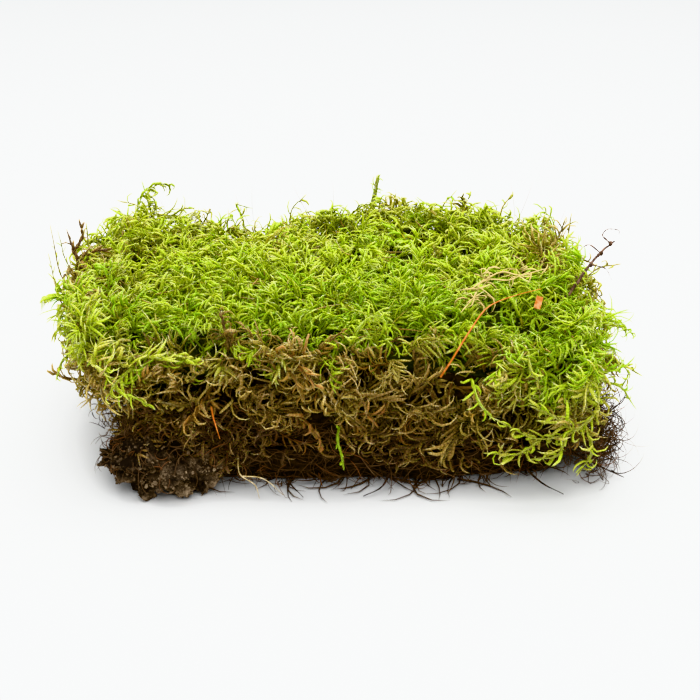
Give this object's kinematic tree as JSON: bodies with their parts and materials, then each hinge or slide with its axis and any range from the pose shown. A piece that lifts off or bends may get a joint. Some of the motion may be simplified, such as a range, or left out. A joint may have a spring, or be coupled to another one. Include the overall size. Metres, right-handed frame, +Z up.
{
  "type": "moss clump",
  "caption": "Torn block of green feather moss on its dead brown shoots and root mat, with a clod of soil at one corner, standing flat on its underside.",
  "frame": {"origin": "middle of the root mat's flat underside, on the ground that the block stands on", "axes": "+Z up; +X along the block's long side, to the right as seen from the face that shows the layers; -Y towards that face"},
  "size_m": [0.2023, 0.1421, 0.0752],
  "materials": {
    "fresh_moss": "matt, slightly waxy leaves, yellow-green at the tips and darker below",
    "dead_moss": "dry and matt, olive brown",
    "roots": "dry and matt, dark brown fibres",
    "soil": "crumbly and matt, dark brown",
    "twig": "dry thin bark, dark red-brown",
    "stalk": "smooth, orange-brown",
    "straw": "dry and matt, pale straw colour"
  },
  "bodies": {
    "root": {"living_moss": "fresh_moss", "dead_moss": "dead_moss", "root_mat": "roots", "soil_clod": "soil", "dark_twig": "twig", "orange_stalk": "stalk", "bark_flake": "stalk", "brown_shoot_left": "twig", "brown_shoot_right": "dead_moss", "red_needle": "stalk", "stray_green_shoot": "fresh_moss", "low_green_shoot": "fresh_moss", "pale_root": "straw", "straw_strand_1": "straw", "straw_strand_2": "straw", "straw_strand_3": "straw", "root_strand_1": "roots", "root_strand_2": "roots", "root_strand_3": "roots", "root_strand_4": "roots", "root_strand_5": "roots", "root_strand_6": "roots"}
  },
  "joints": []
}
